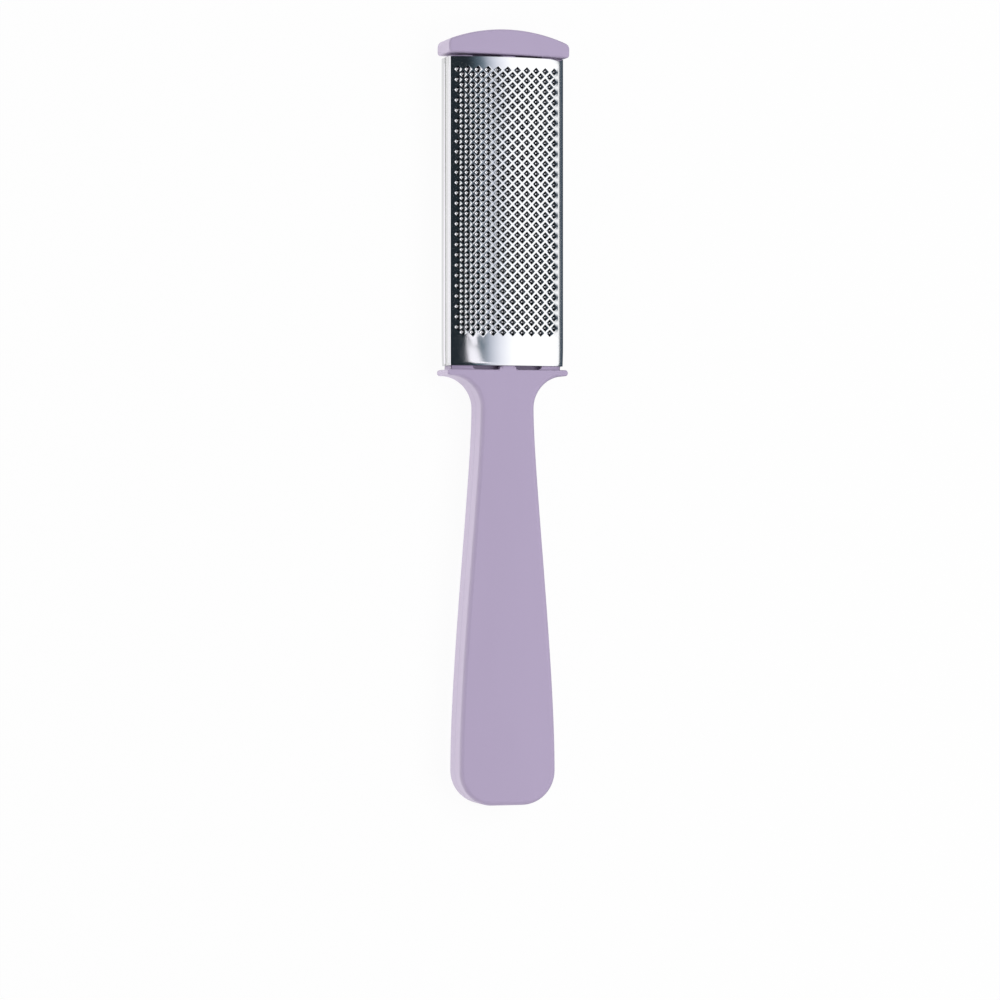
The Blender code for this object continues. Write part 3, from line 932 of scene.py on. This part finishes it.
def lavender_plastic():
    """Satin moulded plastic: a fine mould grain, faint flow marks and slight tone changes."""
    found = bpy.data.materials.get("lavender_plastic")
    if found:
        return found
    finish = Finish("lavender_plastic")
    place = finish.place()
    tone = finish.noise(place, scale=45.0, detail=3.0, stretch=(1, 0.35, 1))
    grain = finish.noise(place, scale=5200.0, detail=1.0)
    flow = finish.noise(place, scale=260.0, stretch=(1, 0.12, 1))
    base = finish.tinted(settings("finish").plastic, tone, darker=0.95, lighter=1.05)
    bump = finish.add("ShaderNodeBump", {}, {"Strength": 0.10, "Distance": 0.00005,
                                             "Height": grain * 0.6 + flow * 0.4})
    return finish.principled({"Base Color": base, "Roughness": 0.40 + 0.10 * flow,
                              "IOR": 1.46, "Normal": bump.value("Normal")})


def polished_steel():
    """Mirror-like rolled steel: faint rolling lines along the sheet, haze and shallow dents."""
    finish = Finish("polished_steel")
    place = finish.place()
    haze = finish.noise(place, scale=90.0, detail=3.0)
    rolling = finish.noise(place, scale=900.0, stretch=(1, 0.02, 1))
    dents = finish.noise(place, scale=55.0, detail=1.0)
    base = finish.tinted(settings("finish").steel, haze, darker=0.94, lighter=1.03)
    waves = finish.add("ShaderNodeBump", {}, {"Strength": 0.12, "Distance": 0.0002,
                                              "Height": dents})
    bump = finish.add("ShaderNodeBump", {}, {"Strength": 0.08, "Distance": 0.00002,
                                             "Height": rolling,
                                             "Normal": waves.value("Normal")})
    return finish.principled({"Base Color": base, "Metallic": 1.0,
                              "Roughness": 0.06 + 0.05 * haze + 0.04 * rolling,
                              "Normal": bump.value("Normal")})


def painted_cone_shade_steel():
    """The steel of the burst cones, a little duller, and painted darker as shade on their flanks.
    """
    finish = Finish("painted_cone_shade_steel")
    haze = finish.noise(finish.place(), scale=700.0, detail=3.0)
    base = finish.tinted(settings("finish").painted_cone_shade, haze, darker=0.75, lighter=1.25)
    return finish.principled({"Base Color": base, "Metallic": 1.0,
                              "Roughness": 0.10 + 0.06 * haze})


def painted_hole_shade_steel():
    """The rough inside of a punched hole, painted dark as shade."""
    finish = Finish("painted_hole_shade_steel")
    haze = finish.noise(finish.place(), scale=1500.0)
    base = finish.tinted(settings("finish").painted_hole_shade, haze, darker=0.6, lighter=1.5)
    return finish.principled({"Base Color": base, "Metallic": 0.9,
                              "Roughness": 0.45 + 0.2 * haze})


# ---- studio


def aimed(location, target, up):
    """The turn that looks from one place to another with the given way up."""
    back = (Vector(location) - Vector(target)).normalized()
    right = Vector(up).cross(back).normalized()
    return Matrix((right, back.cross(right), back)).transposed().to_4x4()


# The two lamps: how far right of the face the softbox stands and how far off, and both sizes
SOFTBOX_TURN = radians(25)
SOFTBOX_DISTANCE = 1.5
SOFTBOX_SIZE = (1.0, 1.6)
PANEL_SIZE = (0.8, 1.2)
PANEL_TINT = (1.0, 1.05, 0.88)


def unseen_by(thing, *kinds):
    """Hide a piece of the studio from these kinds of rays."""
    for kind in kinds:
        setattr(thing, "visible_" + kind, False)


def lamp(name, size, radiance, place, tint=(1, 1, 1)):
    """A rectangular lamp with its radiance turned into watts.

    Mirror-like surfaces see the dome instead, which stands for what is round the tool.
    """
    light = bpy.data.lights.new(name, "AREA")
    light.shape = "RECTANGLE"
    light.size, light.size_y = size
    light.energy = radiance * pi * size[0] * size[1]
    light.color = tint
    thing = new_object(name, light)
    thing.matrix_world = place
    unseen_by(thing, "camera", "glossy")


def right_softbox(radiance):
    """The lamp that stands right of the camera and faces the tool."""
    target = Vector((0, 0, MID_Z))
    place = target + SOFTBOX_DISTANCE * Vector((sin(SOFTBOX_TURN), 0, cos(SOFTBOX_TURN)))
    lamp("right_softbox", SOFTBOX_SIZE, radiance,
         Matrix.Translation(place) @ aimed(place, target, (0, 1, 0)))


def low_panel(radiance):
    """The lamp that lies left of the tool and lights its side, as a bright table does."""
    width, height = PANEL_SIZE
    lamp("low_panel", PANEL_SIZE, radiance,
         Matrix.Translation((-width / 2 - CAP_HIGH.x / 2, -height / 4, OVERRUN))
         @ Matrix.Rotation(pi, 4, "Y"), PANEL_TINT)


# The dome that the steel mirrors, by the turn round the tool from the left (0) over its face
# (0.5) to the right (1): windows of light between dark flags
TENT_BLACK = (0.004, 0.005, 0.006, 1)
TENT_DARK = (0.015, 0.021, 0.026, 1)
TENT_SLATE = (0.050, 0.070, 0.092, 1)
WHITE = (1, 1, 1, 1)
TENT_STOPS = [
    (0.035, (1.2, 1.18, 1.22, 1)),
    (0.065, (0.72, 0.71, 0.74, 1)),
    (0.165, (0.72, 0.71, 0.74, 1)),
    (0.200, (1.15, 1.13, 1.17, 1)),
    (0.302, (1.15, 1.13, 1.17, 1)),
    (0.325, TENT_DARK),
    (0.470, TENT_DARK),
    (0.510, (0.09, 0.13, 0.165, 1)),
    (0.540, (0.50, 0.525, 0.60, 1)),
    (0.575, (0.80, 0.81, 0.87, 1)),
    (0.610, WHITE),
    (0.772, WHITE),
    (0.775, TENT_SLATE),
    (1.0, TENT_SLATE),
]
TENT_RADIUS = 2.6
TENT_FOOT = -0.01

# Between these elevations, in degrees, the dome fades to black above and below
FADE_ABOVE = (28, 40)
FADE_BELOW = (-34, -20)

# Cards that the steel mirrors: a lit strip of table, by its distances from the sleeve's left wall,
# and a window over the dark dome, by its corners' azimuths and elevations in degrees
TABLE_FAR, TABLE_NEAR = 0.0080, 0.0028
TABLE_LIGHT = (1.42, 1.37, 1.44, 1)
GAP_CORNERS = [(-7.6, 2.4), (-1.8, 2.4), (10, -12), (-2, -12)]
GAP_LIGHT = (1.45, 1.42, 1.5, 1)
INSIDE_TENT = 0.95
ALL_BUT_MIRRORS = ("camera", "diffuse", "shadow", "volume_scatter")


def fade(finish, height, elevations, start, end):
    """A smooth step from one value to another between two elevations on the dome."""
    low, high = (TENT_RADIUS * sin(radians(elevation)) for elevation in elevations)
    return finish.add("ShaderNodeMapRange", {"interpolation_type": "SMOOTHSTEP"},
                      {"Value": height, "From Min": low, "From Max": high,
                       "To Min": start, "To Max": end}).value("Result")


def black_tent():
    """A dome of dark flags and light windows that only mirror-like surfaces see."""
    bm = bmesh.new()
    bmesh.ops.create_uvsphere(bm, u_segments=48, v_segments=24, radius=TENT_RADIUS)
    bmesh.ops.delete(bm, geom=[vert for vert in bm.verts if vert.co.z < TENT_FOOT],
                     context="VERTS")
    bmesh.ops.reverse_faces(bm, faces=bm.faces)
    tent = placed(bm, "black_tent")
    unseen_by(tent, *ALL_BUT_MIRRORS)
    finish = Finish("black_tent")
    place = finish.add("ShaderNodeSeparateXYZ", {}, {"Vector": finish.place()})
    turn = finish.add("ShaderNodeMath", {"operation": "ARCTAN2"},
                      {0: place.value("X"), 1: place.value("Z")}).value(0)
    round_tool = finish.add("ShaderNodeValToRGB", {"stops": TENT_STOPS},
                            {"Fac": turn * (1 / pi) + 0.5})
    above = fade(finish, place.value("Y"), FADE_ABOVE, 1.0, 0.0)
    below = fade(finish, place.value("Y"), FADE_BELOW, 0.0, 1.0)
    shade = finish.add("ShaderNodeMix", {"data_type": "RGBA"},
                       {"Factor": above * below, 6: TENT_BLACK, 7: round_tool.value("Color")})
    tent.data.materials.append(finish.unlit(shade.value(2), settings("studio").mirror))


def mirror_card(name, corners, colour):
    """A flat card of one plain colour that only mirror-like surfaces see."""
    bm = bmesh.new()
    bm.faces.new([bm.verts.new(corner) for corner in corners])
    card = placed(bm, name)
    unseen_by(card, *ALL_BUT_MIRRORS)
    card.data.materials.append(Finish(name).unlit(colour))


def on_table(left, right, low, high):
    """The corners of a rectangle that lies just over the table."""
    return [(left, low, OVERRUN), (right, low, OVERRUN),
            (right, high, OVERRUN), (left, high, OVERRUN)]


def toward(azimuth, elevation):
    """The point of the dome, just inside it, that lies that way from the sleeve's mouth."""
    reach = INSIDE_TENT * TENT_RADIUS
    azimuth, elevation = radians(azimuth), radians(elevation)
    return (reach * sin(azimuth) * cos(elevation), reach * sin(elevation) + SLEEVE_LOW.y,
            reach * cos(azimuth) * cos(elevation))


def seen_directly(finish):
    """1 for what the camera, a mirror or glass sees, and 0 for the light that falls on things."""
    path = finish.add("ShaderNodeLightPath")
    direct = path.value("Is Camera Ray") + path.value("Is Glossy Ray")
    return direct + path.value("Is Transmission Ray")


# The floor: how far it reaches, its paper, and the share of it that is plain white where seen
FLOOR_REACH = 6.0
PAPER = (0.90, 0.90, 0.90, 1)
FLOOR_WHITE = 0.94


def white_floor():
    """The surface that the tool lies on: white where it is seen, and it keeps the shadow."""
    bm = bmesh.new()
    bmesh.ops.create_grid(bm, x_segments=8, y_segments=8, size=FLOOR_REACH)
    floor = placed(bm, "white_floor")
    finish = Finish("white_floor")
    paper = finish.add("ShaderNodeBsdfDiffuse", {}, {"Color": PAPER})
    glow = finish.add("ShaderNodeEmission", {}, {"Color": WHITE, "Strength": 1.0})
    shader = finish.add("ShaderNodeMixShader", {}, {0: seen_directly(finish) * FLOOR_WHITE,
                                                    1: paper.value(0), 2: glow.value(0)})
    floor.data.materials.append(finish.output(shader))


def room_light(level):
    """A plain white room that lights the tool evenly."""
    finish = Finish("room", "worlds")
    strength = level + (1 - level) * seen_directly(finish)
    room = finish.add("ShaderNodeBackground", {}, {"Color": WHITE, "Strength": strength})
    bpy.context.scene.world = finish.output(room, "ShaderNodeOutputWorld")


def aimed_camera(sizes):
    """The camera, left of the tool's face and turned to its axis."""
    camera = bpy.data.cameras.new("camera")
    camera.lens = sizes.lens
    camera.sensor_width = 36.0
    camera.clip_start = 0.01
    camera.clip_end = 50.0
    thing = new_object("camera", camera)
    turn = sizes.camera_turn
    right = Vector((cos(turn), 0, sin(turn)))
    away = Vector((-sin(turn), 0, cos(turn)))
    target = Vector((0, sizes.camera_along, MID_Z)) + sizes.camera_across * right
    place = target + sizes.camera_distance * away
    thing.matrix_world = Matrix.Translation(place) @ aimed(place, target, (0, 1, 0))
    return thing


class RASP_OT_studio(bpy.types.Operator):
    """Set the floor, the light and the camera"""
    bl_idname = "foot_rasp.studio"
    bl_label = "Studio"

    def execute(self, context):
        sizes = settings("studio")
        context.scene.view_settings.view_transform = "Standard"
        room_light(sizes.ambient)
        white_floor()
        black_tent()
        beside, reach = SLEEVE_HALF_WIDTH + OVERRUN, TENT_RADIUS / 2
        mirror_card("slate_card", on_table(beside, reach, -reach, reach), TENT_SLATE)
        mirror_card("lit_table", on_table(SLEEVE_LOW.x - TABLE_FAR, SLEEVE_LOW.x - TABLE_NEAR,
                                          SLEEVE_LOW.y, SLEEVE_HIGH.y), TABLE_LIGHT)
        mirror_card("window_gap", [toward(*corner) for corner in GAP_CORNERS], GAP_LIGHT)
        right_softbox(sizes.right_light)
        low_panel(sizes.low_light)
        context.scene.camera = aimed_camera(sizes)
        return {"FINISHED"}


class RASP_PT_panel(bpy.types.Panel):
    """Lists the steps in the 3D view's sidebar"""
    bl_idname = "RASP_PT_panel"
    bl_label = "Foot Rasp"
    bl_space_type = "VIEW_3D"
    bl_region_type = "UI"
    bl_category = "Foot Rasp"

    def draw(self, context):
        for operator in STEPS:
            self.layout.operator(operator.bl_idname)
        for group in GROUPS:
            box = self.layout.box()
            box.label(text=group.title())
            values = settings(group)
            for name in GROUPS[group].__annotations__:
                box.prop(values, name)


STEPS = (RASP_OT_handle, RASP_OT_cap, RASP_OT_sleeve, RASP_OT_studio)
GROUPS = {"handle": HandleSettings, "cap": CapSettings, "sleeve": SleeveSettings,
          "finish": FinishSettings, "studio": StudioSettings}


def register():
    for name, group in GROUPS.items():
        bpy.utils.register_class(group)
        setattr(bpy.types.Scene, "foot_rasp_" + name, PointerProperty(type=group))
    for part in (*STEPS, RASP_PT_panel):
        bpy.utils.register_class(part)


def unregister():
    for part in (RASP_PT_panel, *reversed(STEPS)):
        bpy.utils.unregister_class(part)
    for name, group in GROUPS.items():
        delattr(bpy.types.Scene, "foot_rasp_" + name)
        bpy.utils.unregister_class(group)


def main():
    register()
    bpy.ops.foot_rasp.handle()
    bpy.ops.foot_rasp.cap()
    bpy.ops.foot_rasp.sleeve()
    bpy.ops.foot_rasp.studio()


if __name__ == "__main__":
    main()
